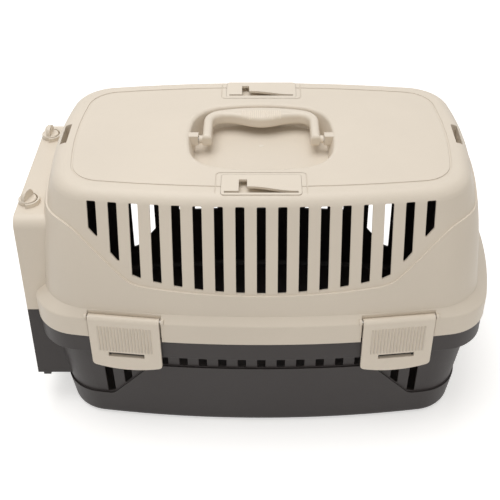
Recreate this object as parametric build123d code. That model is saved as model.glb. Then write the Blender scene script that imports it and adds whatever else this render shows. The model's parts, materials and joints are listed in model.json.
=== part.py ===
from build123d import *
import math
import os

# A hard-shell pet carrier. Millimetres, +Z up, origin on the floor under the middle of the base.
# X runs along the carrier, with the door at the -X end. The near side is -Y and the far side is +Y.

# Shell outline: heights above the floor, and half lengths and half widths of the outer faces.
roof_height = 288.0
roof_half_length = 212.3
roof_half_width = 121.2
roof_corner = 46.0
shoulder_height = 250.0
shoulder_half_length = 224.5
shoulder_half_width = 133.0
shoulder_corner = 50.0
waist_height = 184.0
waist_half_length = 233.8
waist_half_width = 150.6
waist_corner = 52.0
flank_height = 217.0
flank_half_length = 230.2
flank_half_width = 143.4
flank_corner = 51.0
collar_height = 165.0
collar_half_length = 236.3
collar_half_width = 151.4
roof_radius = 15.0
side_bow = 1220.0
end_bow = 450.0
wall = 2.4
ledge_step = 2.0

# Rim of the top shell, a downward channel that sits on the flange of the tray.
rim_half_length = 250.0
rim_half_width = 160.0
rim_corner = 50.0
rim_shoulder_height = 157.0
rim_edge_radius = 2.5
rim_root_rise = 2.0
rim_root_depth = 1.0
parting_height = 133.0
rim_wall = 2.4

# Tray.
base_half_length = 224.0
base_half_width = 143.0
base_corner = 44.0
base_radius = 9.0
tray_top_half_length = 239.0
tray_top_half_width = 151.5
tray_top_corner = 48.0
band_bottom = 110.0
band_inset = 1.5
lip_height = 15.0
lip_wall = 2.0
lip_clearance = 0.5

# Curved ledge lines on both long sides, seen from the side.
smile_low = 190.0
smile_corner = (130.0, 198.0)
smile_end = (190.0, 255.5)
smile_round = 36.0
arch_high = 88.0
arch_corner_x = 117.0
arch_end_x = 163.0
arch_end_z = 36.0
arch_round = 12.0

# Ventilation slots in both long sides.
slot_count = 17
slot_pitch = 20.6
slot_width = 8.8
slot_top = 279.0
slot_floor_low = 191.5
slot_floor_corner = (128.0, 205.5)
slot_floor_end = (174.0, 257.5)
slot_floor_round = 28.0
slot_round = 1.2
slot_well_gap = 10.0
tray_slot_top = 105.0
tray_slot_margin = 1.0

# Groove round the roof panel.
panel_half_length = 195.5
panel_half_width = 103.0
panel_corner = 34.0
groove_width = 2.0
groove_depth = 0.7

# Handle well in the roof, and the carry handle folded into it.
well_half_length = 76.5
well_half_width = 66.5
well_centre_y = -3.5
well_corner = 40.0
well_side_bow = 200.0
well_end_bow = 170.0
well_depth = 23.0
well_draft = 5.0
well_edge_radius = 4.5
handle_half_width = 62.4
handle_arm_width = 10.0
handle_grip_y = 59.5
handle_grip_bow = 11.5
handle_grip_depth = 17.3
handle_grip_belly = 8.9
handle_belly_half_length = 38.0
handle_thickness = 14.0
handle_outer_radius = 22.0
handle_inner_radius = 12.0
handle_tail = 4.5
handle_edge_radius = 4.6
handle_pivot_drop = 7.5
handle_boss_radius = 4.2
handle_boss_reach = 3.6
handle_pin_radius = 2.0
handle_pin_grip = 6.0
handle_pin_seat = 5.0
handle_side_gap = 0.6
handle_pin_gap = 0.06
lug_half_width = 4.5
lug_cover = 4.0
lug_floor = 2.4

# Belt guides let into the roof on each side of the handle.
guide_y = 97.5
guide_half_length = 39.2
guide_half_width = 17.6
guide_depth = 9.0
guide_wall = 1.6
guide_flange = 1.7
guide_flange_thickness = 1.2
guide_clearance = 0.2
guide_hook_length = 14.0
guide_tongue_gap = 8.0
guide_tongue_thickness = 2.6
guide_tongue_inset = 3.0
guide_tongue_sweep = 8.0
guide_bridge = 5.5
guide_corner = 3.5
guide_line_half_length = 45.0
guide_line_half_width = 21.5
guide_line_corner = 5.0
guide_line_width = 1.0
guide_line_depth = 0.5

# Door surround on the -X end.
portal_top = 245.0
portal_bottom = 45.0
portal_top_half_width = 97.0
portal_bottom_half_width = 111.0
portal_edge_radius = 12.0
portal_wall = 2.8
portal_inner_reach = 200.0
doorway_half_width = 73.5
doorway_bottom = 64.0
doorway_top = 230.0
doorway_corner = 4.0
portal_lug_length = 8.0
portal_lug_width = 5.0
portal_lug_height = 3.0

# Door, its two rods and their knobs.
rod_setback = 10.0
rod_half_spacing = 65.0
rod_radius = 3.0
rod_running_gap = 0.06
rod_boss_radius = 5.6
rod_boss_height = 12.0
rod_seat = 2.2
door_gap = 3.0
door_thickness = 7.0
door_frame_width = 9.0
door_corner = 7.0
door_bar_count = 7
door_bar_width = 5.5
door_bar_thickness = 5.0
door_rail_count = 2
door_barrel_radius = 6.0
door_barrel_height = 20.0
door_barrel_inset = 14.0
door_hook_mouth = 7.2
knob_radius = 9.3
knob_thickness = 4.0
knob_boss_height = 1.0
knob_gap = 0.3
knob_edge_radius = 1.5
rod_cap_depth = 3.0
fin_thickness = 4.2
fin_length = 16.5
fin_height = 9.0
fin_turns = {-1: -22.0, 1: -5.0}
guard_inner_radius = 10.6
guard_thickness = 2.0
guard_height = 4.5

# Side clips, hinged in notches of the rim and hooked under the band of the tray.
clip_x = 140.0
clip_half_width = 37.0
clip_side_gap = 1.3
clip_axis_depth = 2.6
clip_axis_height = 158.6
clip_barrel_radius = 3.4
clip_wall_gap = 0.3
clip_back = 0.6
clip_front = 2.2
clip_bottom = 91.8
clip_bottom_rise = 5.5
clip_corner = 5.0
clip_pin_radius = 1.3
clip_pin_gap = 0.06
clip_cheek = 3.0
clip_boss_radius = 3.3
clip_pin_seat = 2.4
clip_window_half_width = 19.0
clip_window_height = 5.6
clip_hook_half_width = 17.0
clip_hook_reach = 3.4
clip_hook_height = 4.0
clip_hook_gap = 0.4

# Shoulder strap eyelets at both ends of the roof.
eyelet_half_width = 19.0
eyelet_inner_x = 203.0
eyelet_slot = 7.0
eyelet_low = 262.0
eyelet_side_height = 9.0

through = 400.0


def ring(half_length, half_width, corner, height, inset=0.0, sides=side_bow, ends=end_bow):
    """Flat outline with bowed sides and ends and rounded corners, drawn in by an inset."""
    a, b, c = half_length - inset, half_width - inset, corner - inset
    rs, re = sides - inset, ends - inset
    side = Vector(0, rs - b)
    end = Vector(a - re, 0)
    between = end - side
    span = between.length
    along = ((rs - c) ** 2 - (re - c) ** 2 + span**2) / (2 * span)
    across = math.sqrt((rs - c) ** 2 - along**2)
    unit = between.normalized()
    middle = side + unit * along + Vector(-unit.Y, unit.X) * across
    p = side + (middle - side).normalized() * rs
    q = end + (middle - end).normalized() * re
    m = middle + ((p + q) * 0.5 - middle).normalized() * c
    arcs = [
        ThreePointArc((-p.X, p.Y), (0, -b), (p.X, p.Y)),
        ThreePointArc((p.X, p.Y), (m.X, m.Y), (q.X, q.Y)),
        ThreePointArc((q.X, q.Y), (a, 0), (q.X, -q.Y)),
        ThreePointArc((q.X, -q.Y), (m.X, -m.Y), (p.X, -p.Y)),
        ThreePointArc((p.X, -p.Y), (0, b), (-p.X, -p.Y)),
        ThreePointArc((-p.X, -p.Y), (-m.X, -m.Y), (-q.X, -q.Y)),
        ThreePointArc((-q.X, -q.Y), (-a, 0), (-q.X, q.Y)),
        ThreePointArc((-q.X, q.Y), (-m.X, m.Y), (-p.X, p.Y)),
    ]
    return (Pos(0, 0, height) * make_face(arcs)).face()


def tower(levels, inset=0.0, smooth=False):
    """Solid through a list of levels, each a half length, half width, corner and height."""
    return loft([ring(*level, inset=inset) for level in levels], ruled=not smooth)


def crowned_tower(levels, inset):
    """Tower that is straight between its two lowest levels and smoothly curved above them."""
    return tower(levels[:2], inset) + tower(levels[1:], inset, smooth=True)


def rounded_tower(levels, inset, radius):
    """Crowned tower whose top edge is rounded."""
    solid = crowned_tower(levels, inset)
    return fillet(solid.edges().group_by(Axis.Z)[-1], radius)


def footed_tower(levels, inset, radius):
    """Tower whose bottom edge is rounded."""
    solid = tower(levels, inset)
    return fillet(solid.edges().group_by(Axis.Z)[0], radius)


def lowered(levels, drop):
    """The same levels with the last one slid down its slope by a drop."""
    low, high = levels[-2], levels[-1]
    share = drop / (high[3] - low[3])
    last = tuple(h + (l - h) * share for l, h in zip(low, high))
    return levels[:-1] + [last]


def sagging_area(low, corner, end, rounding):
    """Area below a line that sags between two corners and climbs beyond them, as an XZ face."""
    line = Polyline(
        (-corner[0], corner[1]),
        (-end[0], end[1]),
        (-through, end[1]),
        (-through, -through),
        (through, -through),
        (through, end[1]),
        end,
        corner,
    )
    belly = ThreePointArc(corner, (0, low), (-corner[0], corner[1]))
    face = make_face([*line.edges(), belly])
    corners = [v for v in face.vertices() if abs(v.X) < through - 1]
    return fillet(corners, rounding)


def smile_area(lift):
    """Area below the curved ledge line of the top shell, raised by a lift, as an XZ face."""
    return Pos(0, lift) * sagging_area(smile_low, smile_corner, smile_end, smile_round)


def slot_floor_area():
    """Area that the slots of the top shell stop short of, as an XZ face."""
    return sagging_area(slot_floor_low, slot_floor_corner, slot_floor_end, slot_floor_round)


def arch_area(lift):
    """Area below the curved ledge line of the tray, raised by a lift, as an XZ face."""
    outline = Polyline(
        (-arch_corner_x, arch_high + lift),
        (arch_corner_x, arch_high + lift),
        (arch_end_x, arch_end_z + lift),
        (through, arch_end_z + lift),
        (through, -through),
        (-through, -through),
        (-through, arch_end_z + lift),
        (-arch_end_x, arch_end_z + lift),
        close=True,
    )
    face = make_face(outline)
    corners = [v for v in face.vertices() if abs(v.X) < through - 1]
    return fillet(corners, arch_round)


def across_body(area):
    """Prism of an XZ area through the whole width of the carrier."""
    return extrude(Plane.XZ * area, amount=through, both=True)


def through_sides(area):
    """Prisms of an XZ area through the two side walls alone, clear of the handle well."""
    start = well_half_width + abs(well_centre_y) + wall + slot_well_gap
    near = extrude(Plane.XZ.offset(start) * area, amount=through)
    return [near, mirror(near, Plane.XZ)]


def top_of(area, x):
    """Height of the top of an XZ area at one place along the carrier."""
    return (area & Pos(x, 0) * Rectangle(0.01, 4 * through)).bounding_box().max.Y


def slots(top, floor_area):
    """Comb of upright slots up to a height and down to a curved floor line."""
    cutters = []
    for index in range(slot_count):
        x = (index - (slot_count - 1) / 2) * slot_pitch
        left, right = x - slot_width / 2, x + slot_width / 2
        outline = Polyline(
            (left, top),
            (left, top_of(floor_area, left)),
            (right, top_of(floor_area, right)),
            (right, top),
            close=True,
        )
        cutters += through_sides(fillet(make_face(outline).vertices(), slot_round))
    return cutters


def portal_half_width(height, inset=0.0):
    """Half width of the door surround at a height."""
    slope = (portal_bottom_half_width - portal_top_half_width) / (portal_top - portal_bottom)
    return portal_top_half_width + slope * (portal_top - height) - inset


def portal_solid(inset):
    """The door surround as a prism from its front to inside the body, drawn in by an inset."""
    top, bottom = portal_top - inset, portal_bottom + inset
    high, low = portal_half_width(top, inset), portal_half_width(bottom, inset)
    face = make_face(Polyline((-low, bottom), (low, bottom), (high, top), (-high, top), close=True))
    corners = [v for v in face.vertices() if v.Y > (top + bottom) / 2]
    face = fillet(corners, portal_edge_radius - inset)
    front, back = -rim_half_length + inset, -portal_inner_reach
    return extrude(Plane.YZ.offset(front) * face, amount=back - front)


def box_between(x, y, z):
    """Box from three pairs of limits."""
    middle = [(low + high) / 2 for low, high in (x, y, z)]
    return Pos(*middle) * Box(x[1] - x[0], y[1] - y[0], z[1] - z[0])


def slab(low, high):
    """Everything between two heights."""
    return box_between((-through, through), (-through, through), (low, high))


def upright(radius, x, y, low, high):
    """Round post between two heights."""
    return Pos(x, y, (low + high) / 2) * Cylinder(radius, high - low)


# Levels of the shell walls from the parting line up, and of the tray from the floor up.
skirt_half_length = collar_half_length + ledge_step
skirt_half_width = collar_half_width + ledge_step
cap_levels = [
    (collar_half_length, collar_half_width, waist_corner, parting_height),
    (collar_half_length, collar_half_width, waist_corner, collar_height),
    (waist_half_length, waist_half_width, waist_corner, waist_height),
    (flank_half_length, flank_half_width, flank_corner, flank_height),
    (shoulder_half_length, shoulder_half_width, shoulder_corner, shoulder_height),
    (roof_half_length, roof_half_width, roof_corner, roof_height),
]
skirt_levels = [
    (skirt_half_length, skirt_half_width, waist_corner, parting_height),
    (skirt_half_length, skirt_half_width, waist_corner, collar_height),
]
rim_levels = [
    (rim_half_length, rim_half_width, rim_corner, parting_height),
    (rim_half_length, rim_half_width, rim_corner, rim_shoulder_height),
    (
        skirt_half_length - rim_root_depth,
        skirt_half_width - rim_root_depth,
        waist_corner,
        collar_height + rim_root_rise,
    ),
]
tray_levels = [
    (base_half_length, base_half_width, base_corner, 0),
    (tray_top_half_length, tray_top_half_width, tray_top_corner, band_bottom),
]

# Places that several pieces share.
rod_x = -rim_half_length + rod_setback
pivot_height = roof_height - handle_pivot_drop
notch_back = -(clip_axis_depth + clip_barrel_radius + clip_wall_gap)
notch_half_width = clip_half_width + clip_side_gap
knob_seat = portal_top + knob_boss_height
lug_start = handle_half_width + handle_boss_reach + handle_side_gap


def clip_places():
    """Place of each clip: local X along the rim, Y outward, origin on the face of the rim."""
    angle = math.asin(clip_x / side_bow)
    y = side_bow * (1 - math.cos(angle)) - rim_half_width
    turn = math.degrees(angle)
    return {
        "near_front": Location((-clip_x, y, 0), (0, 0, 180 - turn)),
        "near_rear": Location((clip_x, y, 0), (0, 0, 180 + turn)),
        "far_front": Location((-clip_x, -y, 0), (0, 0, turn)),
        "far_rear": Location((clip_x, -y, 0), (0, 0, -turn)),
    }


def along_rim(radius, half_length):
    """Rod along the hinge line of a clip, in the clip's own place."""
    return Pos(0, -clip_axis_depth, clip_axis_height) * Rot(0, 90, 0) * Cylinder(radius, 2 * half_length)


def well(inset):
    """Dished well in the roof, drawn in by an inset."""
    faces = []
    for draw, height in ((well_draft, roof_height - well_depth + inset), (0, roof_height + 1)):
        faces.append(
            ring(
                well_half_length - draw,
                well_half_width - draw,
                well_corner - draw,
                height,
                inset,
                well_side_bow - draw,
                well_end_bow - draw,
            )
        )
    return Pos(0, well_centre_y, 0) * loft(faces, ruled=True)


def make_top_shell():
    front_gap = box_between(
        (-through, -portal_inner_reach), (-portal_top_half_width, portal_top_half_width), (0, through)
    )
    skirt = crowned_tower(cap_levels, -ledge_step) & across_body(smile_area(0))
    rim = tower(rim_levels)
    shoulder = [e for e in rim.edges() if abs(e.center().Z - rim_shoulder_height) < 0.01]
    rim = fillet(shoulder, rim_edge_radius)
    portal = portal_solid(0) & slab(parting_height, through)
    hull = rounded_tower(cap_levels, 0, roof_radius)
    cap = hull - well(0)
    brink = [
        e
        for e in cap.edges().group_by(Axis.Z)[-1]
        if abs(e.center().X) < well_half_length + 1 and abs(e.center().Y) < well_half_width + 5
    ]
    cap = fillet(brink, well_edge_radius)
    outer = cap + skirt + (rim - front_gap) + portal

    # Cabin, the inside of the door surround and the rim's channel. The well hangs into the cabin.
    cabin = rounded_tower(lowered(cap_levels, wall), wall, roof_radius - wall)
    cabin += crowned_tower(cap_levels, wall - ledge_step) & across_body(smile_area(-wall))
    cabin -= well(-wall)
    cabin += portal_solid(portal_wall)
    channel_levels = rim_levels[:1] + [(*rim_levels[1][:3], rim_shoulder_height - rim_wall)]
    channel = tower(channel_levels, rim_wall) - tower(skirt_levels)
    shell = outer - cabin - channel

    # Door opening, ventilation slots, panel groove and belt guide seats.
    shell -= doorway()
    shell -= slots(slot_top, slot_floor_area())
    groove = ring(panel_half_length, panel_half_width, panel_corner, 0) - ring(
        panel_half_length, panel_half_width, panel_corner, 0, groove_width
    )
    shell -= Pos(0, 0, roof_height - groove_depth) * extrude(groove, amount=groove_depth + 1)
    for side in (-1, 1):
        shell -= guide_seat(side)
        shell += knob_boss(side)
        shell -= rod_bore(side)
        shell += pivot_lug(side) & well(-wall / 2)
        shell += eyelet_pocket(side) & hull
        shell -= handle_pin_shape(side, handle_pin_radius, handle_pin_grip)
        shell -= eyelet(side)

    # Notches and cheeks for the clips.
    for place in clip_places().values():
        cheeks = place * box_between(
            (-notch_half_width - clip_cheek, notch_half_width + clip_cheek),
            (notch_back, 0.5),
            (parting_height, collar_height),
        )
        shell += cheeks & rim
        shell += place * along_rim(clip_boss_radius, notch_half_width + clip_cheek)
        shell -= place * box_between(
            (-notch_half_width, notch_half_width), (notch_back, 10), (0, collar_height + 5)
        )
        shell -= place * along_rim(clip_pin_radius, notch_half_width + clip_pin_seat)
    return shell


def doorway():
    """Opening in the front plate of the door surround."""
    height = doorway_top - doorway_bottom
    outline = Pos(0, (doorway_top + doorway_bottom) / 2) * RectangleRounded(
        2 * doorway_half_width, height, doorway_corner
    )
    return extrude(Plane.YZ.offset(-rim_half_length - 1) * outline, amount=portal_wall + 2)


def guide_seat(side):
    """Stepped hole in the roof for a belt guide."""
    gap = guide_clearance
    top = roof_height - guide_flange_thickness
    flange = guide_plate(gap, 10)
    body_x = guide_half_length - guide_flange + gap
    body_y = guide_half_width - guide_flange + gap
    body = Box(2 * body_x, 2 * body_y, 20)
    seat = Pos(0, side * guide_y, top) * flange + Pos(0, side * guide_y, roof_height) * body
    line = guide_line(0) - guide_line(guide_line_width)
    return seat + Pos(0, side * guide_y, roof_height - guide_line_depth) * extrude(line, amount=10)


def guide_plate(gap, thickness):
    """Plate with the outline of a belt guide's flange, grown by a gap, standing on Z 0."""
    outline = RectangleRounded(
        2 * (guide_half_length + gap), 2 * (guide_half_width + gap), guide_corner + gap
    )
    return extrude(outline, amount=thickness)


def guide_line(inset):
    """Outline of the shallow line round a belt guide, drawn in by an inset."""
    return RectangleRounded(
        2 * (guide_line_half_length - inset),
        2 * (guide_line_half_width - inset),
        guide_line_corner - inset,
    )


def knob_boss(side):
    """Raised disc on top of the door surround, a guard half round it and the rod's boss below."""
    y = side * rod_half_spacing
    disc = upright(knob_radius, rod_x, y, portal_top - portal_wall, knob_seat)
    low, high = portal_top - portal_wall, portal_top + guard_height
    guard = upright(guard_inner_radius + guard_thickness, rod_x, y, low, high)
    guard -= upright(guard_inner_radius, rod_x, y, low - 1, high + 1)
    guard &= box_between((rod_x, 0), (-through, through), (low, high))
    return disc + guard + upright(rod_boss_radius, rod_x, y, portal_top - rod_boss_height, portal_top)


def rod_bore(side):
    bore = rod_radius + rod_running_gap
    return upright(bore, rod_x, side * rod_half_spacing, portal_top - 2 * rod_boss_height, knob_seat + 1)


def pivot_lug(side):
    """Lug on the end wall of the well that carries a pivot pin of the handle."""
    return box_between(
        sorted((side * lug_start, side * through)),
        (-lug_half_width, lug_half_width),
        (
            pivot_height - handle_pin_radius - lug_floor,
            pivot_height + handle_pin_radius + lug_cover,
        ),
    )


def eyelet_pocket(side):
    """Block that closes a strap slot off from the cabin."""
    return box_between(
        sorted((side * (eyelet_inner_x - wall), side * through)),
        (-eyelet_half_width - wall, eyelet_half_width + wall),
        (eyelet_low - wall, roof_height),
    )


def eyelet(side):
    """Strap slot through the roof edge and out of the end wall, leaving a bar between."""
    over = sorted((side * eyelet_inner_x, side * (eyelet_inner_x + eyelet_slot)))
    out = sorted((side * eyelet_inner_x, side * (eyelet_inner_x + 40)))
    across = (-eyelet_half_width, eyelet_half_width)
    return box_between(over, across, (eyelet_low, through)) + box_between(
        out, across, (eyelet_low, eyelet_low + eyelet_side_height)
    )


def make_bottom_tray():
    front_gap = box_between(
        (-through, -portal_inner_reach), (-portal_top_half_width, portal_top_half_width), (0, through)
    )
    body = footed_tower(tray_levels, 0, base_radius)
    upper = footed_tower(tray_levels, ledge_step, base_radius)
    band_levels = [
        (rim_half_length, rim_half_width, rim_corner, band_bottom),
        (rim_half_length, rim_half_width, rim_corner, parting_height),
    ]
    lip_inset = wall + lip_clearance
    lip_levels = [
        (skirt_half_length, skirt_half_width, waist_corner, band_bottom),
        (skirt_half_length, skirt_half_width, waist_corner, parting_height + lip_height),
    ]
    outer = (body & across_body(arch_area(0))) + upper
    outer += tower(band_levels, band_inset) - front_gap
    outer += tower(lip_levels, lip_inset) - front_gap
    outer += portal_solid(0) & slab(0, parting_height)

    # Inside of the tray, of the door surround and of the lip, and the band's channel below.
    inside_levels = lowered(tray_levels[::-1], -wall)[::-1]
    inside_radius = base_radius - wall
    inside = footed_tower(inside_levels, wall, inside_radius) & across_body(arch_area(-wall))
    inside += footed_tower(inside_levels, wall + ledge_step, inside_radius)
    throat_levels = [(*lip_levels[0][:3], band_bottom - 1), (*lip_levels[1][:3], through)]
    inside += tower(throat_levels, lip_inset + lip_wall)
    inside += portal_solid(portal_wall)
    channel_levels = [
        (*band_levels[0][:3], band_bottom - 1),
        (*band_levels[1][:3], parting_height - rim_wall),
    ]
    channel = tower(channel_levels, band_inset + rim_wall) - tower(
        [(*lip_levels[0][:3], 0), (*lip_levels[1][:3], parting_height)], lip_inset
    )
    tray = outer - inside - (channel - portal_solid(0))
    tray -= doorway()
    tray -= slots(tray_slot_top, arch_area(tray_slot_margin))

    for side in (-1, 1):
        y = side * rod_half_spacing
        seat = portal_bottom + rod_seat
        tray += upright(rod_boss_radius, rod_x, y, portal_bottom, doorway_bottom - rod_seat)
        tray -= upright(rod_radius + rod_running_gap, rod_x, y, seat, doorway_top)
        edge = side * portal_bottom_half_width
        tray += box_between(
            (rod_x - portal_lug_length / 2, rod_x + portal_lug_length / 2),
            sorted((edge, edge - side * portal_lug_width)),
            (portal_bottom - portal_lug_height, portal_bottom + portal_wall),
        )
    return tray


def make_handle():
    """Carry handle lying in its well: two arms, a bellied grip and a pivot at each arm's end."""
    half = handle_half_width
    inner = half - handle_arm_width
    low_grip = handle_grip_y - handle_grip_depth
    shoulder = handle_grip_y - handle_grip_bow
    reach = handle_belly_half_length
    edges = [
        Line((inner, low_grip), (inner, -handle_tail)),
        Line((inner, -handle_tail), (half, -handle_tail)),
        Line((half, -handle_tail), (half, shoulder)),
        ThreePointArc((half, shoulder), (0, handle_grip_y), (-half, shoulder)),
        Line((-half, shoulder), (-half, -handle_tail)),
        Line((-half, -handle_tail), (-inner, -handle_tail)),
        Line((-inner, -handle_tail), (-inner, low_grip)),
        Line((-inner, low_grip), (-reach, low_grip)),
        Spline((-reach, low_grip), (0, low_grip - handle_grip_belly), tangents=((1, 0), (1, 0))),
        Spline((0, low_grip - handle_grip_belly), (reach, low_grip), tangents=((1, 0), (1, 0))),
        Line((reach, low_grip), (inner, low_grip)),
    ]
    plan = make_face(edges)
    plan = fillet([v for v in plan.vertices() if abs(v.Y - shoulder) < 0.01], handle_outer_radius)
    corners = [v for v in plan.vertices() if abs(v.Y - low_grip) < 0.01 and abs(v.X) > reach + 1]
    plan = fillet(corners, handle_inner_radius)
    low = pivot_height - handle_thickness / 2
    handle = Pos(0, 0, low) * extrude(plan, amount=handle_thickness)
    handle = fillet(handle.edges().filter_by(Axis.Z, reverse=True), handle_edge_radius)
    for side in (-1, 1):
        limits = sorted((side * (half - 2), side * (half + handle_boss_reach)))
        boss = Rot(0, 90, 0) * Cylinder(handle_boss_radius, limits[1] - limits[0])
        handle += Pos(sum(limits) / 2, 0, pivot_height) * boss
        handle -= handle_pin_shape(side, handle_pin_radius + handle_pin_gap, handle_pin_grip + 1)
    return handle


def handle_pin_shape(side, radius, grip):
    """Round bar from inside a handle arm to inside its lug."""
    limits = sorted((side * (handle_half_width - grip), side * (lug_start + handle_pin_seat)))
    middle = (limits[0] + limits[1]) / 2
    bar = Cylinder(radius, limits[1] - limits[0])
    return Pos(middle, 0, pivot_height) * Rot(0, 90, 0) * bar


def make_handle_pin(side):
    return handle_pin_shape(side, handle_pin_radius, handle_pin_grip)


def make_belt_guide(side):
    """Open box let into the roof, with a hook and a tongue that trap a belt between them."""
    top = roof_height
    y = side * guide_y
    body_x, body_y = guide_half_length - guide_flange, guide_half_width - guide_flange
    flange = Pos(0, y, top - guide_flange_thickness) * guide_plate(0, guide_flange_thickness)
    body = Pos(0, y, top - guide_depth / 2) * Box(2 * body_x, 2 * body_y, guide_depth)
    pocket = Pos(0, y, top - guide_depth / 2 + guide_wall) * Box(
        2 * (body_x - guide_wall), 2 * (body_y - guide_wall), guide_depth
    )
    guide = flange + body - pocket
    inner_x, inner_y = body_x - guide_wall, body_y - guide_wall
    hook = box_between(
        (-inner_x, -inner_x + guide_hook_length),
        (y - inner_y + guide_tongue_inset, y + inner_y),
        (top - guide_depth, top),
    )
    start = -inner_x + guide_hook_length + guide_tongue_gap
    near = y - inner_y
    tongue_plan = make_face(
        [
            Line((start, near + guide_tongue_inset + guide_tongue_sweep), (start, y + inner_y)),
            Line((start, y + inner_y), (inner_x, y + inner_y)),
            Line((inner_x, y + inner_y), (inner_x, near + guide_tongue_inset)),
            Spline(
                (inner_x, near + guide_tongue_inset),
                (start, near + guide_tongue_inset + guide_tongue_sweep),
                tangents=((-1, 0), (-1, 0)),
            ),
        ]
    )
    tongue = Pos(0, 0, top - guide_tongue_thickness) * extrude(tongue_plan, amount=guide_tongue_thickness)
    bridge = box_between(
        (-inner_x + guide_hook_length - 1, start + 1),
        (y + inner_y - guide_bridge, y + inner_y),
        (top - guide_tongue_thickness, top),
    )
    return guide + hook + tongue + bridge


def make_clip(place):
    """Side clip with its hinge barrel at the top, a finger window and a hook behind it."""
    axis_y, axis_z = -clip_axis_depth, clip_axis_height
    crown = axis_z + clip_barrel_radius
    half_round = clip_front + clip_axis_depth
    profile = make_face(
        [
            ThreePointArc(
                (axis_y, crown),
                (
                    axis_y + half_round * math.sin(math.radians(50)),
                    crown - half_round * (1 - math.cos(math.radians(50))),
                ),
                (clip_front, crown - half_round),
            ),
            Line((clip_front, crown - half_round), (clip_front, clip_bottom)),
            Line((clip_front, clip_bottom), (-clip_back, clip_bottom)),
            Line((-clip_back, clip_bottom), (-clip_back, axis_z)),
            Line((-clip_back, axis_z), (axis_y, axis_z)),
            Line((axis_y, axis_z), (axis_y, crown)),
        ]
    )
    plate = extrude(Plane.YZ * profile, amount=clip_half_width, both=True)
    plate += along_rim(clip_barrel_radius, clip_half_width)
    corner = clip_bottom + clip_bottom_rise
    outline = make_face(
        [
            Line((-clip_half_width, corner), (-clip_half_width, through)),
            Line((-clip_half_width, through), (clip_half_width, through)),
            Line((clip_half_width, through), (clip_half_width, corner)),
            ThreePointArc((clip_half_width, corner), (0, clip_bottom), (-clip_half_width, corner)),
        ]
    )
    low = [v for v in outline.vertices() if abs(v.Y - corner) < 0.01]
    outline = fillet(low, clip_corner)
    plate &= extrude(Plane.XZ * outline, amount=20, both=True)
    hook_top = band_bottom - clip_hook_gap
    plate -= box_between(
        (-clip_window_half_width, clip_window_half_width), (-5, 5), (hook_top, hook_top + clip_window_height)
    )
    plate += box_between(
        (-clip_hook_half_width, clip_hook_half_width),
        (-clip_back - clip_hook_reach, -clip_back),
        (hook_top - clip_hook_height, hook_top),
    )
    plate -= along_rim(clip_pin_radius + clip_pin_gap, clip_half_width + 1)
    return place * plate


def make_clip_pin(place):
    return place * along_rim(clip_pin_radius, notch_half_width + clip_pin_seat)


def make_door():
    """Moulded grille with a frame, bars and rails, and an open hook round each rod."""
    low, high = doorway_bottom + door_gap, doorway_top - door_gap
    height, middle = high - low, (high + low) / 2
    half = rod_half_spacing - door_barrel_radius
    outer = RectangleRounded(2 * half, height, door_corner)
    inner = Rectangle(2 * (half - door_frame_width), height - 2 * door_frame_width)
    frame = extrude(Plane.YZ * (Pos(0, middle) * (outer - inner)), amount=door_thickness / 2, both=True)
    door = frame
    for index in range(door_bar_count):
        y = ((index + 1) / (door_bar_count + 1) - 0.5) * 2 * (half - door_frame_width)
        door += Pos(0, y, middle) * Box(door_bar_thickness, door_bar_width, height - door_frame_width)
    for index in range(door_rail_count):
        z = low + height * (index + 1) / (door_rail_count + 1)
        door += Pos(0, 0, z) * Box(door_bar_thickness, 2 * half - door_frame_width, door_bar_width)
    for side in (-1, 1):
        for z in door_hook_heights():
            hook = Pos(0, side * rod_half_spacing, z) * Cylinder(door_barrel_radius, door_barrel_height)
            web = Pos(0, side * (half + 1), z) * Box(
                door_thickness, 2 * door_barrel_radius - 2, door_barrel_height
            )
            bore = Pos(0, side * rod_half_spacing, z) * Cylinder(door_hook_mouth / 2, 2 * door_barrel_height)
            mouth = Pos(door_barrel_radius, side * rod_half_spacing, z) * Box(
                2 * door_barrel_radius, door_hook_mouth, 2 * door_barrel_height
            )
            door += hook + web
            door -= bore + mouth
    return Pos(rod_x, 0, 0) * door


def door_hook_heights():
    """Heights of the middles of the door's hooks."""
    inset = door_gap + door_barrel_inset + door_barrel_height / 2
    low, high = doorway_bottom + inset, doorway_top - inset
    return (low, (low + high) / 2, high)


def make_rod(side):
    """Upright rod that the door's hooks hang on, pressed into its knob."""
    top = knob_seat + knob_gap + rod_cap_depth
    return upright(rod_radius, rod_x, side * rod_half_spacing, portal_bottom + rod_seat, top)


def make_knob(side):
    """Round knob on top of its rod, with a raised thumb fin."""
    y = side * rod_half_spacing
    low = knob_seat + knob_gap
    disc = Pos(rod_x, y, low + knob_thickness / 2) * Cylinder(knob_radius, knob_thickness)
    disc = fillet(disc.edges().group_by(Axis.Z)[-1], knob_edge_radius)
    fin_base = low + knob_thickness
    fin = Box(fin_thickness, fin_length, fin_height + 1)
    fin = fillet(fin.edges().group_by(Axis.Z)[-1].filter_by(Axis.X), fin_height - 1.5)
    knob = disc + Location((rod_x, y, fin_base + fin_height / 2 - 0.5), (0, 0, fin_turns[side])) * fin
    knob -= upright(rod_radius, rod_x, y, low - 1, low + rod_cap_depth)
    return knob


def main():
    os.makedirs("parts", exist_ok=True)
    nodes = {
        "top_shell": make_top_shell(),
        "bottom_tray": make_bottom_tray(),
        "carry_handle": make_handle(),
        "door": make_door(),
    }
    for name, side in (("front", -1), ("rear", 1)):
        nodes[f"{name}_handle_pin"] = make_handle_pin(side)
    for name, side in (("near", -1), ("far", 1)):
        nodes[f"{name}_belt_guide"] = make_belt_guide(side)
        nodes[f"{name}_door_rod"] = make_rod(side)
        nodes[f"{name}_door_knob"] = make_knob(side)
    for name, place in clip_places().items():
        nodes[f"{name}_clip"] = make_clip(place)
        nodes[f"{name}_clip_pin"] = make_clip_pin(place)
    for name, solid in nodes.items():
        export_step(solid, f"parts/{name}.step")


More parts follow.
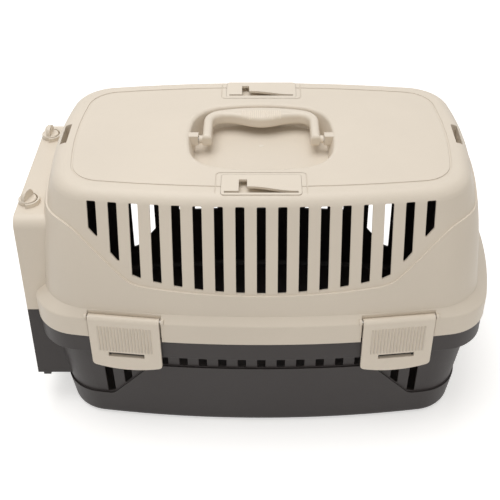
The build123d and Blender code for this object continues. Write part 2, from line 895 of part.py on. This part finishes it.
if __name__ == "__main__":
    main()
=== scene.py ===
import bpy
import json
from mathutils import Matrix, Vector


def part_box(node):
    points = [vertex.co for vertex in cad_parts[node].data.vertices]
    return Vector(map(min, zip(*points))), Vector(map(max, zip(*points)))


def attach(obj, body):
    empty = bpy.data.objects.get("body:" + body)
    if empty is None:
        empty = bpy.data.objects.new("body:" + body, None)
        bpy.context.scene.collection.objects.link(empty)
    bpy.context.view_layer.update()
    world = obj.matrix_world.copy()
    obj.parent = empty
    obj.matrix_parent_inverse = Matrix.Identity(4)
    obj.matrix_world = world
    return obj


bl_info = {
    "name": "Pet Carrier Looks",
    "version": (1, 0, 0),
    "blender": (4, 5, 0),
    "location": "View3D > Sidebar > Carrier",
    "description": "Moulded finishes, ribs and a plain stage for a hard-shell pet carrier",
    "category": "Object",
}

import json
import math
from typing import NamedTuple

import bmesh
import bpy
from bpy.props import FloatProperty, FloatVectorProperty, IntProperty, PointerProperty
from bpy.types import Operator, Panel, PropertyGroup
from mathutils import Matrix, Vector
from mathutils.bvhtree import BVHTree

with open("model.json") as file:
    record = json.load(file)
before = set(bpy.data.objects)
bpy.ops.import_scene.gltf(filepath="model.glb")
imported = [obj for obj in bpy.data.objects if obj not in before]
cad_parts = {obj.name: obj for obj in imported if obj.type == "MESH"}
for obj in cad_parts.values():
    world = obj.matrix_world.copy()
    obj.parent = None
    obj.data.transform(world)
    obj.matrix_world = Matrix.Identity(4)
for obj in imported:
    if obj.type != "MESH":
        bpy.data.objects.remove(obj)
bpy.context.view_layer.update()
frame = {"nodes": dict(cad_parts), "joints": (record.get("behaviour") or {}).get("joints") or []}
nodes = frame["nodes"]
joints = {joint["name"]: joint for joint in frame["joints"]}

MM = 0.001
UP = Vector((0, 0, 1))
DOWN = Vector((0, 0, -1))
CLIPS = ("near_front", "near_rear", "far_front", "far_rear")
handle_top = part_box("carry_handle")[1].z
roof_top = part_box("top_shell")[1].z

# Heights above the ground between which a clip's ribs run, and how far their ends dip into it.
CLIP_RIB_LOW = 117.0 * MM
CLIP_RIB_HIGH = 151.0 * MM
CLIP_RIB_DIP = 1.2 * MM

# How far the grip's ribs dip in at their ends, how far below its top they may run, in how many
# steps, and how far above it the search for its surface starts.
GRIP_RIB_DIP = 1.2 * MM
GRIP_RIB_REACH = 2.6 * MM
GRIP_RIB_STEPS = 14
SEARCH_START = 10.0 * MM

# Sides of a rib's round section, and how near two points are to count as one.
BEAD_SIDES = 12
MERGE_DISTANCE = 1e-7

# The round mark on the well's floor. Its profile is pairs of radius and height in millimetres, from
# the middle out.
WELL_DEPTH = 23.0 * MM
GATE_MARK_Y = 12.0 * MM
GATE_MARK_SIDES = 40
GATE_MARK_PEAK = 0.55
GATE_MARK_RISE = ((0.5, 0.5), (0.8, 0.3), (1.0, 0.12))
GATE_MARK_RIM = ((1.9, 0.1), (2.3, 0.35), (2.8, 0.3), (3.1, -0.2))

# The stage: its whites, the floor's half side and height, and the width of the camera's sensor.
WHITE = (1.0, 1.0, 1.0)
FLOOR_WHITE = (0.9, 0.9, 0.9)
FLOOR_REACH = 4.0
FLOOR_HEIGHT = -0.0005
SENSOR_WIDTH = 36.0


class Moulding(NamedTuple):
    """How the plastic of one moulding differs from that of the next.

    Tint is a share of the plastic's colour. Wear says how far a rubbed edge goes towards the worn
    colour, which is the worn tint's share of the moulding's own. The grain's depth is in metres.
    """

    tint: float
    roughness: float
    grain_depth: float
    wear: float
    worn_tint: float = 1.1


MOULDINGS = {
    "shell_beige": Moulding(1.0, 0.47, 0.00009, 0.45),
    "tray_dark": Moulding(1.0, 0.5, 0.00009, 0.5, worn_tint=2.1),
    "handle_beige": Moulding(1.02, 0.38, 0.00005, 0.6),
    # The grip's ribs are tinted lighter than the handle around them: painted highlight on the ribs.
    "handle_rib_painted_highlight": Moulding(1.14, 0.38, 0.00002, 0.6),
    "clip_beige": Moulding(1.05, 0.42, 0.00006, 0.6),
    # The clip's ribs are tinted darker than the clip around them: painted shade over the ribbed
    # thumb pad.
    "clip_rib_painted_shade": Moulding(0.9, 0.4, 0.00002, 0.6),
    "guide_beige": Moulding(1.03, 0.4, 0.00005, 0.5),
    "door_beige": Moulding(0.98, 0.45, 0.00008, 0.5),
    "knob_beige": Moulding(1.01, 0.4, 0.00006, 0.6),
    "rod_beige": Moulding(0.95, 0.36, 0.00003, 0.6),
}


class Lamp(NamedTuple):
    """Where a softbox stands, what it looks at, and its two sides."""

    place: tuple
    target: tuple
    size: tuple


LAMPS = {
    "overhead": Lamp((-0.25, 0.1, 1.9), (0.0, 0.0, 0.15), (1.7, 1.4)),
    "front_fill": Lamp((0.5, -1.8, 1.0), (0.0, 0.0, 0.12), (1.4, 1.0)),
}


# Properties


class CarrierFinish(PropertyGroup):
    """Colours and grain of the moulded plastic."""

    beige: FloatVectorProperty(
        name="Shell Beige",
        description="Colour of the upper shell, handle, clips and door",
        subtype="COLOR",
        size=3,
        min=0.0,
        max=1.0,
        default=(0.745, 0.672, 0.575),
    )
    tray: FloatVectorProperty(
        name="Tray Grey-Brown",
        description="Colour of the lower tray",
        subtype="COLOR",
        size=3,
        min=0.0,
        max=1.0,
        default=(0.0236, 0.0181, 0.0172),
    )
    steel: FloatVectorProperty(
        name="Pin Steel",
        description="Colour of the drawn wire pins",
        subtype="COLOR",
        size=3,
        min=0.0,
        max=1.0,
        default=(0.62, 0.61, 0.60),
    )
    grain_size: FloatProperty(
        name="Grain Size",
        description="Width of one grain of the eroded mould surface",
        subtype="DISTANCE",
        unit="LENGTH",
        min=0.0001,
        max=0.005,
        default=0.0009,
    )
    edge_width: FloatProperty(
        name="Edge Softness",
        description="Radius over which moulded edges catch the light",
        subtype="DISTANCE",
        unit="LENGTH",
        min=0.0,
        max=0.004,
        default=0.0009,
    )


class CarrierRibs(PropertyGroup):
    """Sizes of the ribs on the clips and on the grip."""

    clip_count: IntProperty(
        name="Clip Ribs",
        description="Ribs on the thumb pad of each clip",
        min=2,
        max=40,
        default=17,
    )
    clip_pitch: FloatProperty(
        name="Clip Rib Pitch",
        description="Distance from rib to rib on a clip",
        subtype="DISTANCE",
        unit="LENGTH",
        default=0.0034,
    )
    clip_width: FloatProperty(
        name="Clip Rib Width",
        description="Width of a rib where it meets the clip",
        subtype="DISTANCE",
        unit="LENGTH",
        default=0.0018,
    )
    clip_height: FloatProperty(
        name="Clip Rib Height",
        description="How far a rib stands out of the clip",
        subtype="DISTANCE",
        unit="LENGTH",
        default=0.0011,
    )
    grip_count: IntProperty(
        name="Grip Ribs",
        description="Fine ribs over the middle of the handle",
        min=2,
        max=60,
        default=21,
    )
    grip_pitch: FloatProperty(
        name="Grip Rib Pitch",
        description="Distance from rib to rib on the grip",
        subtype="DISTANCE",
        unit="LENGTH",
        default=0.0021,
    )
    grip_width: FloatProperty(
        name="Grip Rib Width",
        description="Width of a rib where it meets the grip",
        subtype="DISTANCE",
        unit="LENGTH",
        default=0.0012,
    )
    grip_height: FloatProperty(
        name="Grip Rib Height",
        description="How far a rib stands out of the grip",
        subtype="DISTANCE",
        unit="LENGTH",
        default=0.00045,
    )
    grip_far: FloatProperty(
        name="Grip Rib Far End",
        description="Where the grip's ribs start, across the carrier",
        subtype="DISTANCE",
        unit="LENGTH",
        default=0.0495,
    )
    grip_near: FloatProperty(
        name="Grip Rib Near End",
        description="Where the grip's ribs stop, across the carrier",
        subtype="DISTANCE",
        unit="LENGTH",
        default=0.0362,
    )
    edge_width: FloatProperty(
        name="Rib Edge Softness",
        description="Radius over which the ribs catch the light",
        subtype="DISTANCE",
        unit="LENGTH",
        default=0.00012,
    )


class CarrierStage(PropertyGroup):
    """Camera and light of the plain studio."""

    lens: FloatProperty(
        name="Lens",
        description="Focal length of the camera in millimetres",
        min=20.0,
        max=200.0,
        default=66.2,
    )
    camera_place: FloatVectorProperty(
        name="Camera Place",
        description="Where the camera stands",
        subtype="TRANSLATION",
        unit="LENGTH",
        size=3,
        default=(0.0, -0.8444, 0.7836),
    )
    camera_pitch: FloatProperty(
        name="Camera Pitch",
        description="Tilt of the camera up from straight down",
        subtype="ANGLE",
        unit="ROTATION",
        default=math.radians(52.35),
    )
    camera_shift: FloatProperty(
        name="Camera Shift",
        description="Sideways framing shift, as a share of the picture",
        default=-0.0226,
    )
    key_power: FloatProperty(
        name="Key Power",
        description="Power of the overhead softbox",
        subtype="POWER",
        unit="POWER",
        default=20.2,
    )
    fill_power: FloatProperty(
        name="Fill Power",
        description="Power of the front fill",
        subtype="POWER",
        unit="POWER",
        default=3.6,
    )
    ambient: FloatProperty(
        name="Ambient",
        description="Strength of the even light all round",
        default=0.44,
    )
    ambient_tint: FloatVectorProperty(
        name="Ambient Tint",
        description="Colour of the even light and of the front fill",
        subtype="COLOR",
        size=3,
        min=0.0,
        max=1.0,
        default=(1.0, 0.955, 0.89),
    )
    floor_glow: FloatProperty(
        name="Floor Glow",
        description="Light added to the floor where the camera sees it",
        default=0.5,
    )


# Materials


def maths(tree, operation, first, second):
    """Result of a math node on two values, each a socket or a number."""
    node = tree.nodes.new("ShaderNodeMath")
    node.operation = operation
    for socket, given in zip(node.inputs, (first, second)):
        if isinstance(given, (int, float)):
            socket.default_value = given
        else:
            tree.links.new(given, socket)
    return node.outputs[0]


def shade(colour, factor):
    """A colour made lighter or darker by a factor."""
    return tuple(min(1.0, channel * factor) for channel in colour)


class Finish:
    """Node tree of one material, with short calls to add and join its nodes."""

    def __init__(self, name):
        self.material = bpy.data.materials.new(name)
        self.material.use_nodes = True
        self.tree = self.material.node_tree
        self.shader = self.tree.nodes["Principled BSDF"]
        self.place = self.add("ShaderNodeTexCoord").outputs["Object"]

    def add(self, kind, **settings):
        """A new node of a kind, with its settings."""
        node = self.tree.nodes.new(kind)
        for key, value in settings.items():
            setattr(node, key, value)
        return node

    def join(self, source, target):
        """Links an output to an input."""
        self.tree.links.new(source, target)

    def noise(self, scale, detail=2.0, roughness=0.5, stretch=(1.0, 1.0, 1.0)):
        """Noise in the object's own metres, stretched along its axes."""
        mapping = self.add("ShaderNodeMapping")
        mapping.inputs["Scale"].default_value = stretch
        self.join(self.place, mapping.inputs["Vector"])
        noise = self.add("ShaderNodeTexNoise")
        noise.inputs["Scale"].default_value = scale
        noise.inputs["Detail"].default_value = detail
        noise.inputs["Roughness"].default_value = roughness
        self.join(mapping.outputs["Vector"], noise.inputs["Vector"])
        return noise.outputs["Fac"]

    def spread(self, source, low, high, start=0.3, end=0.7):
        """Maps a value between start and end to the range low to high."""
        spread = self.add("ShaderNodeMapRange")
        self.join(source, spread.inputs["Value"])
        ends = {"From Min": start, "From Max": end, "To Min": low, "To Max": high}
        for key, value in ends.items():
            spread.inputs[key].default_value = value
        return spread.outputs["Result"]

    def sum(self, *values):
        """Adds values, each a socket or a number."""
        return self.chain("ADD", values)

    def product(self, *values):
        """Multiplies values, each a socket or a number."""
        return self.chain("MULTIPLY", values)

    def chain(self, operation, values):
        """Joins values by one operation, from the first to the last."""
        total = values[0]
        for value in values[1:]:
            total = maths(self.tree, operation, total, value)
        return total

    def blend(self, share, first, second):
        """Colour between two colours, each a socket or a tuple."""
        mix = self.add("ShaderNodeMix", data_type="RGBA")
        self.join(share, mix.inputs["Factor"])
        for socket, given in ((mix.inputs[6], first), (mix.inputs[7], second)):
            if isinstance(given, tuple):
                socket.default_value = (*given, 1.0)
            else:
                self.join(given, socket)
        return mix.outputs[2]


def moulded_plastic(name, plastic, edge_width=None):
    """Satin moulded plastic: eroded grain, soft clouding, edges rubbed smoother and paler."""
    settings = bpy.context.scene.carrier_finish
    moulding = MOULDINGS[name]
    roughness = moulding.roughness
    colour = shade(plastic, moulding.tint)
    worn = shade(colour, moulding.worn_tint)

    finish = Finish(name)
    shader = finish.shader
    cloud = finish.noise(7.0, detail=3.0)
    patch = finish.noise(55.0, detail=4.0, roughness=0.6)
    grit = finish.noise(1.0 / settings.grain_size, detail=2.0, roughness=0.6)
    scuff = finish.noise(90.0, detail=5.0, roughness=0.7, stretch=(1.0, 1.0, 9.0))

    # Edges, from how far the rounded normal turns away from the surface's own.
    rounded = finish.add("ShaderNodeBevel", samples=6)
    radius = settings.edge_width if edge_width is None else edge_width
    rounded.inputs["Radius"].default_value = radius
    surface = finish.add("ShaderNodeNewGeometry")
    turn = finish.add("ShaderNodeVectorMath", operation="DOT_PRODUCT")
    finish.join(rounded.outputs["Normal"], turn.inputs[0])
    finish.join(surface.outputs["Normal"], turn.inputs[1])
    edge = finish.spread(turn.outputs["Value"], 1.0, 0.0, start=0.86, end=0.995)
    rub = finish.product(edge, finish.spread(patch, 0.25, 1.0), moulding.wear)

    clouding = finish.spread(cloud, 0.0, 1.0)
    base = finish.blend(clouding, shade(colour, 0.965), shade(colour, 1.03))
    base = finish.blend(finish.spread(patch, 0.0, 0.22), base, shade(colour, 0.93))
    base = finish.blend(finish.spread(grit, 0.0, 0.16), base, shade(colour, 0.86))
    base = finish.blend(rub, base, worn)
    finish.join(base, shader.inputs["Base Color"])

    rough = finish.sum(
        finish.spread(cloud, roughness - 0.03, roughness + 0.03),
        finish.spread(grit, -0.03, 0.04),
        finish.spread(scuff, 0.0, -0.05, start=0.58, end=0.7),
        finish.product(rub, -0.1),
    )
    finish.join(rough, shader.inputs["Roughness"])

    bump = finish.add("ShaderNodeBump")
    bump.inputs["Strength"].default_value = 0.55
    bump.inputs["Distance"].default_value = moulding.grain_depth
    relief = finish.sum(grit, finish.product(patch, 0.4), finish.product(scuff, 0.15))
    finish.join(relief, bump.inputs["Height"])
    finish.join(rounded.outputs["Normal"], bump.inputs["Normal"])
    finish.join(bump.outputs["Normal"], shader.inputs["Normal"])
    shader.inputs["IOR"].default_value = 1.49
    return finish.material


def drawn_steel(name, colour):
    """Plain wire with fine marks along its length."""
    finish = Finish(name)
    shader = finish.shader
    marks = finish.noise(700.0, detail=3.0, roughness=0.6, stretch=(0.08, 1.0, 1.0))
    tint = finish.blend(finish.spread(marks, 0.0, 1.0), shade(colour, 0.8), shade(colour, 1.08))
    finish.join(tint, shader.inputs["Base Color"])
    finish.join(finish.spread(marks, 0.22, 0.4), shader.inputs["Roughness"])
    shader.inputs["Metallic"].default_value = 1.0
    bump = finish.add("ShaderNodeBump")
    bump.inputs["Strength"].default_value = 0.3
    bump.inputs["Distance"].default_value = 0.00004
    finish.join(marks, bump.inputs["Height"])
    finish.join(bump.outputs["Normal"], shader.inputs["Normal"])
    return finish.material


def dress(material, *names):
    """Gives CAD nodes a finish."""
    for name in names:
        mesh = nodes[name].data
        if not mesh.materials:
            mesh.materials.append(material)
        for index in range(len(mesh.materials)):
            mesh.materials[index] = material


# Ribs


def rib_row_tree():
    """Geometry Nodes tree: beads that follow a path, repeated in a row along X."""
    tree = bpy.data.node_groups.new("rib_row", "GeometryNodeTree")
    tree.interface.new_socket("Geometry", in_out="INPUT", socket_type="NodeSocketGeometry")
    kinds = {
        "Count": "NodeSocketInt",
        "Pitch": "NodeSocketFloat",
        "Bead Radius": "NodeSocketFloat",
        "Bead Sides": "NodeSocketInt",
        "Finish": "NodeSocketMaterial",
    }
    for name, kind in kinds.items():
        tree.interface.new_socket(name, in_out="INPUT", socket_type=kind)
    tree.interface.new_socket("Geometry", in_out="OUTPUT", socket_type="NodeSocketGeometry")
    given = tree.nodes.new("NodeGroupInput").outputs
    result = tree.nodes.new("NodeGroupOutput").inputs
    join = tree.links.new

    path = tree.nodes.new("GeometryNodeMeshToCurve")
    join(given["Geometry"], path.inputs["Mesh"])
    profile = tree.nodes.new("GeometryNodeCurvePrimitiveCircle")
    join(given["Bead Radius"], profile.inputs["Radius"])
    join(given["Bead Sides"], profile.inputs["Resolution"])
    bead = tree.nodes.new("GeometryNodeCurveToMesh")
    bead.inputs["Fill Caps"].default_value = True
    join(path.outputs["Curve"], bead.inputs["Curve"])
    join(profile.outputs["Curve"], bead.inputs["Profile Curve"])

    reach = maths(tree, "MULTIPLY", maths(tree, "SUBTRACT", given["Count"], 1.0), given["Pitch"])
    start = tree.nodes.new("ShaderNodeCombineXYZ")
    join(maths(tree, "MULTIPLY", reach, -0.5), start.inputs["X"])
    step = tree.nodes.new("ShaderNodeCombineXYZ")
    join(given["Pitch"], step.inputs["X"])
    row = tree.nodes.new("GeometryNodeMeshLine")
    join(given["Count"], row.inputs["Count"])
    join(start.outputs[0], row.inputs["Start Location"])
    join(step.outputs[0], row.inputs["Offset"])

    copies = tree.nodes.new("GeometryNodeInstanceOnPoints")
    join(row.outputs["Mesh"], copies.inputs["Points"])
    join(bead.outputs["Mesh"], copies.inputs["Instance"])
    real = tree.nodes.new("GeometryNodeRealizeInstances")
    join(copies.outputs["Instances"], real.inputs["Geometry"])
    paint = tree.nodes.new("GeometryNodeSetMaterial")
    join(real.outputs["Geometry"], paint.inputs["Geometry"])
    join(given["Finish"], paint.inputs["Material"])
    join(paint.outputs["Geometry"], result["Geometry"])
    return tree


def bead_radius(width, height):
    """Radius of a round bead that shows this width and height above a surface."""
    return (width * width / 4 + height * height) / (2 * height)


def rib_row(name, paths, count, pitch, radius, material, place):
    """Ribs along paths, repeated in a row, baked to a plain mesh and put in place."""
    tree = bpy.data.node_groups.get("rib_row") or rib_row_tree()
    mesh = bpy.data.meshes.new(name)
    points, edges = [], []
    for path in paths:
        edges += [(len(points) + i, len(points) + i + 1) for i in range(len(path) - 1)]
        points += path
    mesh.from_pydata(points, edges, [])
    piece = bpy.data.objects.new(name, mesh)
    bpy.context.scene.collection.objects.link(piece)
    modifier = piece.modifiers.new("ribs", "NODES")
    modifier.node_group = tree
    values = {
        "Count": count,
        "Pitch": pitch,
        "Bead Radius": radius,
        "Bead Sides": BEAD_SIDES,
        "Finish": material,
    }
    for item in tree.interface.items_tree:
        if item.item_type == "SOCKET" and item.in_out == "INPUT" and item.name in values:
            modifier[item.identifier] = values[item.name]
    bpy.context.view_layer.update()
    evaluated = piece.evaluated_get(bpy.context.evaluated_depsgraph_get())
    baked = bpy.data.meshes.new_from_object(evaluated)
    piece.modifiers.remove(modifier)
    piece.data = baked
    outward(baked)
    baked.transform(place)
    baked.shade_smooth()
    return piece


def outward(mesh):
    """Merges doubles and turns the faces of closed shapes outwards."""
    work = bmesh.new()
    work.from_mesh(mesh)
    bmesh.ops.remove_doubles(work, verts=work.verts, dist=MERGE_DISTANCE)
    bmesh.ops.recalc_face_normals(work, faces=work.faces)
    work.to_mesh(mesh)
    work.free()


def skin_of(name):
    """Search tree over the surface of a CAD node."""
    mesh = nodes[name].data
    corners = [vertex.co for vertex in mesh.vertices]
    faces = [tuple(face.vertices) for face in mesh.polygons]
    return BVHTree.FromPolygons(corners, faces)


def over_grip(skin, x, far, near, sunk):
    """Path over the top of the grip at one place along it, both ends dipped into the plastic."""
    path = []
    for step in range(GRIP_RIB_STEPS + 1):
        y = far + (near - far) * step / GRIP_RIB_STEPS
        hit = skin.ray_cast(Vector((x, y, handle_top + SEARCH_START)), DOWN)[0]
        if hit is not None and hit.z > handle_top - GRIP_RIB_REACH:
            path.append((x, y, hit.z - sunk))
    first, last = path[0], path[-1]
    far_dip = (x, first[1] + GRIP_RIB_DIP, first[2] - GRIP_RIB_DIP)
    near_dip = (x, last[1] - GRIP_RIB_DIP / 2, last[2] - GRIP_RIB_DIP)
    return [far_dip, *path, near_dip]


def clip_place(clip):
    """Frame of a clip: X along its hinge, Y outward, Z up, origin on the hinge line."""
    joint = joints[f"{clip}_clip_swing"]
    along = Vector(joint["axis"]).normalized()
    out = UP.cross(along)
    place = Matrix((along, out, UP)).transposed().to_4x4()
    place.translation = Vector(joint["pos_m"])
    return place


def clip_front(clip, place):
    """How far the front of a clip lies outside its hinge line."""
    back = place.inverted()
    return max((back @ vertex.co).y for vertex in nodes[f"{clip}_clip"].data.vertices)


def turned_mesh(name, peak, profile, centre, sides):
    """Closed mesh turned about an upright line, from a peak and pairs of radius and height."""
    work = bmesh.new()
    x, y, z = centre
    rings = []
    for radius, height in profile:
        ring = []
        for side in range(sides):
            angle = 2 * math.pi * side / sides
            across, along = radius * MM * math.cos(angle), radius * MM * math.sin(angle)
            ring.append(work.verts.new((x + across, y + along, z + height * MM)))
        rings.append(ring)
    top = work.verts.new((x, y, z + peak * MM))
    for side in range(sides):
        after = (side + 1) % sides
        work.faces.new((top, rings[0][side], rings[0][after]))
        for inner, outer in zip(rings, rings[1:]):
            work.faces.new((inner[side], outer[side], outer[after], inner[after]))
    work.faces.new(list(reversed(rings[-1])))
    bmesh.ops.recalc_face_normals(work, faces=work.faces)
    mesh = bpy.data.meshes.new(name)
    work.to_mesh(mesh)
    work.free()
    mesh.shade_smooth()
    return mesh


# Operators


class CARRIER_OT_shells(Operator):
    """Finish the upper shell and the tray"""

    bl_idname = "carrier.shells"
    bl_label = "Finish Shells"

    def execute(self, context):
        finish = context.scene.carrier_finish
        dress(moulded_plastic("shell_beige", finish.beige), "top_shell")
        dress(moulded_plastic("tray_dark", finish.tray), "bottom_tray")
        return {"FINISHED"}


class CARRIER_OT_handle(Operator):
    """Finish the carry handle and lay the fine ribs over its grip"""

    bl_idname = "carrier.handle"
    bl_label = "Finish Handle"

    def execute(self, context):
        ribs = context.scene.carrier_ribs
        beige = context.scene.carrier_finish.beige
        dress(moulded_plastic("handle_beige", beige), "carry_handle")
        # The grip's ribs take the lighter tint, a painted highlight.
        material = moulded_plastic("handle_rib_painted_highlight", beige, ribs.edge_width)
        radius = bead_radius(ribs.grip_width, ribs.grip_height)
        skin = skin_of("carry_handle")
        first = -(ribs.grip_count - 1) / 2 * ribs.grip_pitch
        sunk = radius - ribs.grip_height
        places = [first + index * ribs.grip_pitch for index in range(ribs.grip_count)]
        paths = [over_grip(skin, x, ribs.grip_far, ribs.grip_near, sunk) for x in places]
        # The paths already stand side by side, so the row repeats them once.
        piece = rib_row("grip_ribs", paths, 1, 0.0, radius, material, Matrix.Identity(4))
        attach(piece, "handle")
        return {"FINISHED"}


class CARRIER_OT_clips(Operator):
    """Finish the four side clips and all the steel pins, and lay ribs over the thumb pads"""

    bl_idname = "carrier.clips"
    bl_label = "Finish Clips"

    def execute(self, context):
        ribs = context.scene.carrier_ribs
        finish = context.scene.carrier_finish
        material = moulded_plastic("clip_beige", finish.beige)
        # The thumb pad's ribs take the darker tint, painted shade.
        painted_shade_rib_material = moulded_plastic("clip_rib_painted_shade", finish.beige, ribs.edge_width)
        radius = bead_radius(ribs.clip_width, ribs.clip_height)
        for clip in CLIPS:
            dress(material, f"{clip}_clip")
            place = clip_place(clip)
            face = clip_front(clip, place) - radius + ribs.clip_height
            low = CLIP_RIB_LOW - place.translation.z
            high = CLIP_RIB_HIGH - place.translation.z
            path = [
                (0, face - CLIP_RIB_DIP, low),
                (0, face, low + CLIP_RIB_DIP),
                (0, face, high - CLIP_RIB_DIP),
                (0, face - CLIP_RIB_DIP, high),
            ]
            count, pitch = ribs.clip_count, ribs.clip_pitch
            name = f"{clip}_clip_ribs"
            piece = rib_row(name, [path], count, pitch, radius, painted_shade_rib_material, place)
            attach(piece, f"{clip}_clip")
        steel = drawn_steel("pin_steel", tuple(finish.steel))
        dress(steel, *[f"{clip}_clip_pin" for clip in CLIPS], "front_handle_pin", "rear_handle_pin")
        return {"FINISHED"}


class CARRIER_OT_guides(Operator):
    """Finish the two belt guides in the roof"""

    bl_idname = "carrier.guides"
    bl_label = "Finish Belt Guides"

    def execute(self, context):
        guide = moulded_plastic("guide_beige", context.scene.carrier_finish.beige)
        dress(guide, "near_belt_guide", "far_belt_guide")
        return {"FINISHED"}


class CARRIER_OT_door(Operator):
    """Finish the door, its rods and its knobs"""

    bl_idname = "carrier.door"
    bl_label = "Finish Door"

    def execute(self, context):
        beige = context.scene.carrier_finish.beige
        dress(moulded_plastic("door_beige", beige), "door")
        dress(moulded_plastic("knob_beige", beige), "near_door_knob", "far_door_knob")
        dress(moulded_plastic("rod_beige", beige), "near_door_rod", "far_door_rod")
        return {"FINISHED"}


class CARRIER_OT_gate_mark(Operator):
    """Add the round mark that the mould's feed leaves on the floor of the handle well"""

    bl_idname = "carrier.gate_mark"
    bl_label = "Add Gate Mark"

    def execute(self, context):
        centre = (0.0, GATE_MARK_Y, roof_top - WELL_DEPTH)
        profile = GATE_MARK_RISE + GATE_MARK_RIM
        mesh = turned_mesh("gate_mark", GATE_MARK_PEAK, profile, centre, GATE_MARK_SIDES)
        mesh.materials.append(bpy.data.materials["shell_beige"])
        piece = bpy.data.objects.new("gate_mark", mesh)
        context.scene.collection.objects.link(piece)
        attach(piece, "shell")
        return {"FINISHED"}


# Stage


def softbox(name, power, tint):
    """Adds one of the lamps, turned towards its target."""
    box = LAMPS[name]
    lamp = bpy.data.lights.new(name, "AREA")
    lamp.color = tint
    lamp.shape = "RECTANGLE"
    lamp.size, lamp.size_y = box.size
    lamp.energy = power
    holder = bpy.data.objects.new(name, lamp)
    holder.location = box.place
    sight = Vector(box.target) - Vector(box.place)
    holder.rotation_euler = sight.to_track_quat("-Z", "Y").to_euler()
    bpy.context.scene.collection.objects.link(holder)


def seen_share(tree):
    """One where the camera, a mirror-like surface or clear plastic looks at the backdrop."""
    rays = tree.nodes.new("ShaderNodeLightPath").outputs
    total = rays["Is Camera Ray"]
    for name in ("Is Glossy Ray", "Is Transmission Ray"):
        total = maths(tree, "MAXIMUM", total, rays[name])
    return total


def white_floor(floor_glow):
    """Pale floor that reads as white and keeps the carrier's shadow."""
    material = bpy.data.materials.new("floor_white")
    material.use_nodes = True
    tree = material.node_tree
    tree.nodes.clear()
    diffuse = tree.nodes.new("ShaderNodeBsdfDiffuse")
    diffuse.inputs["Color"].default_value = (*FLOOR_WHITE, 1.0)
    glow = tree.nodes.new("ShaderNodeEmission")
    strength = maths(tree, "MULTIPLY", seen_share(tree), floor_glow)
    tree.links.new(strength, glow.inputs["Strength"])
    both = tree.nodes.new("ShaderNodeAddShader")
    tree.links.new(diffuse.outputs[0], both.inputs[0])
    tree.links.new(glow.outputs[0], both.inputs[1])
    output = tree.nodes.new("ShaderNodeOutputMaterial")
    tree.links.new(both.outputs[0], output.inputs["Surface"])
    return material


def floor_mesh(floor_glow):
    """Level square under the carrier, a hair below its underside."""
    reach = FLOOR_REACH
    sides = ((-reach, -reach), (reach, -reach), (reach, reach), (-reach, reach))
    mesh = bpy.data.meshes.new("floor")
    mesh.from_pydata([(x, y, FLOOR_HEIGHT) for x, y in sides], [], [(0, 1, 2, 3)])
    mesh.materials.append(white_floor(floor_glow))
    return mesh


def photo_camera(stage):
    """Camera that sees the carrier as the photo does."""
    data = bpy.data.cameras.new("photo_camera")
    data.lens = stage.lens
    data.sensor_width = SENSOR_WIDTH
    data.shift_x = stage.camera_shift
    camera = bpy.data.objects.new("photo_camera", data)
    camera.location = stage.camera_place
    camera.rotation_euler = (stage.camera_pitch, 0.0, 0.0)
    bpy.context.scene.collection.objects.link(camera)
    return camera


def studio_world(stage):
    """Even light all round, seen as white where the camera looks past the carrier."""
    world = bpy.data.worlds.new("studio")
    world.use_nodes = True
    tree = world.node_tree
    tree.nodes.clear()
    even = tree.nodes.new("ShaderNodeBackground")
    even.inputs["Strength"].default_value = stage.ambient
    even.inputs["Color"].default_value = (*stage.ambient_tint, 1.0)
    white = tree.nodes.new("ShaderNodeBackground")
    white.inputs["Color"].default_value = (*WHITE, 1.0)
    mix = tree.nodes.new("ShaderNodeMixShader")
    tree.links.new(seen_share(tree), mix.inputs["Fac"])
    tree.links.new(even.outputs[0], mix.inputs[1])
    tree.links.new(white.outputs[0], mix.inputs[2])
    output = tree.nodes.new("ShaderNodeOutputWorld")
    tree.links.new(mix.outputs[0], output.inputs["Surface"])
    return world


class CARRIER_OT_stage(Operator):
    """Set the floor, the light and the camera"""

    bl_idname = "carrier.stage"
    bl_label = "Set Stage"

    def execute(self, context):
        scene = context.scene
        stage = scene.carrier_stage
        scene.camera = photo_camera(stage)

        floor = bpy.data.objects.new("floor", floor_mesh(stage.floor_glow))
        scene.collection.objects.link(floor)

        softbox("overhead", stage.key_power, WHITE)
        softbox("front_fill", stage.fill_power, stage.ambient_tint)

        scene.world = studio_world(stage)
        scene.view_settings.view_transform = "Standard"
        return {"FINISHED"}


class CARRIER_PT_panel(Panel):
    """Sizes, colours and steps of the carrier's looks"""

    bl_idname = "CARRIER_PT_panel"
    bl_label = "Pet Carrier"
    bl_space_type = "VIEW_3D"
    bl_region_type = "UI"
    bl_category = "Carrier"

    def draw(self, context):
        for title, group in (
            ("Finish", context.scene.carrier_finish),
            ("Ribs", context.scene.carrier_ribs),
            ("Stage", context.scene.carrier_stage),
        ):
            box = self.layout.box()
            box.label(text=title)
            for name in group.__annotations__:
                box.prop(group, name)
        for step in STEPS:
            self.layout.operator(step.bl_idname)


STEPS = (
    CARRIER_OT_stage,
    CARRIER_OT_shells,
    CARRIER_OT_handle,
    CARRIER_OT_clips,
    CARRIER_OT_guides,
    CARRIER_OT_door,
    CARRIER_OT_gate_mark,
)
GROUPS = (CarrierFinish, CarrierRibs, CarrierStage)


def register():
    for item in (*GROUPS, *STEPS, CARRIER_PT_panel):
        bpy.utils.register_class(item)
    bpy.types.Scene.carrier_finish = PointerProperty(type=CarrierFinish)
    bpy.types.Scene.carrier_ribs = PointerProperty(type=CarrierRibs)
    bpy.types.Scene.carrier_stage = PointerProperty(type=CarrierStage)


def unregister():
    del bpy.types.Scene.carrier_stage
    del bpy.types.Scene.carrier_ribs
    del bpy.types.Scene.carrier_finish
    for item in reversed((*GROUPS, *STEPS, CARRIER_PT_panel)):
        bpy.utils.unregister_class(item)


def main():
    register()
    for step in STEPS:
        group, name = step.bl_idname.split(".")
        getattr(getattr(bpy.ops, group), name)()


if __name__ == "__main__":
    main()
